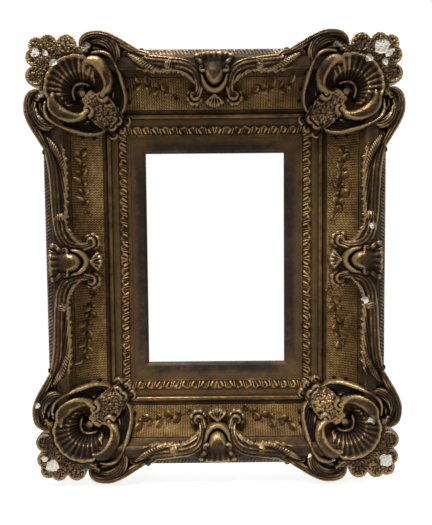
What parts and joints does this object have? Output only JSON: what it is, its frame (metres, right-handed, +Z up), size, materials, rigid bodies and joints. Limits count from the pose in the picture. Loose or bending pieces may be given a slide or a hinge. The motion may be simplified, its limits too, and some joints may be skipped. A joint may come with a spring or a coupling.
{
  "type": "ornate picture frame",
  "caption": "Deep-cove ornate gilded picture frame with a mitred moulding, an inner liner, shell corners, scrolls and hinged hanging rings.",
  "frame": {"origin": "middle of the sight opening on the frame's flat back plane", "axes": "+Z up along the tall side, +X to the viewer's right, +Y towards the wall; the carved front faces -Y"},
  "size_m": [0.4924, 0.095, 0.5924],
  "materials": {
    "gilded_wood": "softwood moulding under gesso, aged bronze gilding on the face, bare wood behind",
    "liner_wood": "softwood liner with dark aged gilding",
    "gilded_composition": "cast chalk-and-glue composition with aged bronze gilding",
    "hardwood_key": "planed hardwood",
    "iron": "dark drawn iron",
    "plate_brass": "dull sheet brass and wire",
    "steel": "zinc-coated screw"
  },
  "bodies": {
    "frame": {"centre_boss_bottom": "gilded_composition", "centre_boss_left": "gilded_composition", "centre_boss_right": "gilded_composition", "centre_boss_top": "gilded_composition", "centre_shell_bottom": "gilded_composition", "centre_shell_left": "gilded_composition", "centre_shell_right": "gilded_composition", "centre_shell_top": "gilded_composition", "corner_leaf_bottom_left": "gilded_composition", "corner_leaf_bottom_right": "gilded_composition", "corner_leaf_top_left": "gilded_composition", "corner_leaf_top_right": "gilded_composition", "corner_rim_bottom_left": "gilded_composition", "corner_rim_bottom_right": "gilded_composition", "corner_rim_top_left": "gilded_composition", "corner_rim_top_right": "gilded_composition", "corner_scrolls_bottom_left": "gilded_composition", "corner_scrolls_bottom_right": "gilded_composition", "corner_scrolls_top_left": "gilded_composition", "corner_scrolls_top_right": "gilded_composition", "corner_shell_bottom_left": "gilded_composition", "corner_shell_bottom_right": "gilded_composition", "corner_shell_top_left": "gilded_composition", "corner_shell_top_right": "gilded_composition", "cove_panel_bottom": "gilded_composition", "cove_panel_left": "gilded_composition", "cove_panel_right": "gilded_composition", "cove_panel_top": "gilded_composition", "cove_sprays": "gilded_composition", "edge_strip_bottom": "gilded_composition", "edge_strip_left": "gilded_composition", "edge_strip_right": "gilded_composition", "edge_strip_top": "gilded_composition", "hanger_plates": "plate_brass", "hanger_screws": "steel", "leaf_strip_bottom": "gilded_composition", "leaf_strip_left": "gilded_composition", "leaf_strip_right": "gilded_composition", "leaf_strip_top": "gilded_composition", "liner_bottom": "liner_wood", "liner_brads": "iron", "liner_left": "liner_wood", "liner_right": "liner_wood", "liner_top": "liner_wood", "mitre_keys": "hardwood_key", "mitre_nails": "iron", "rail_bottom": "gilded_wood", "rail_left": "gilded_wood", "rail_right": "gilded_wood", "rail_top": "gilded_wood", "sweep_bottom_left": "gilded_composition", "sweep_bottom_right": "gilded_composition", "sweep_left_bottom": "gilded_composition", "sweep_left_top": "gilded_composition", "sweep_right_bottom": "gilded_composition", "sweep_right_top": "gilded_composition", "sweep_top_left": "gilded_composition", "sweep_top_right": "gilded_composition"},
    "ring_left": {"ring_left": "plate_brass"},
    "ring_right": {"ring_right": "plate_brass"}
  },
  "joints": [
    {"name": "ring_left_hinge", "type": "hinge", "parent": "frame", "child": "ring_left", "pos_m": [-0.1799, -0.003, 0.096], "axis": [1, 0, 0], "range_deg": [0, 175]},
    {"name": "ring_right_hinge", "type": "hinge", "parent": "frame", "child": "ring_right", "pos_m": [0.1799, -0.003, 0.096], "axis": [1, 0, 0], "range_deg": [0, 175]}
  ]
}
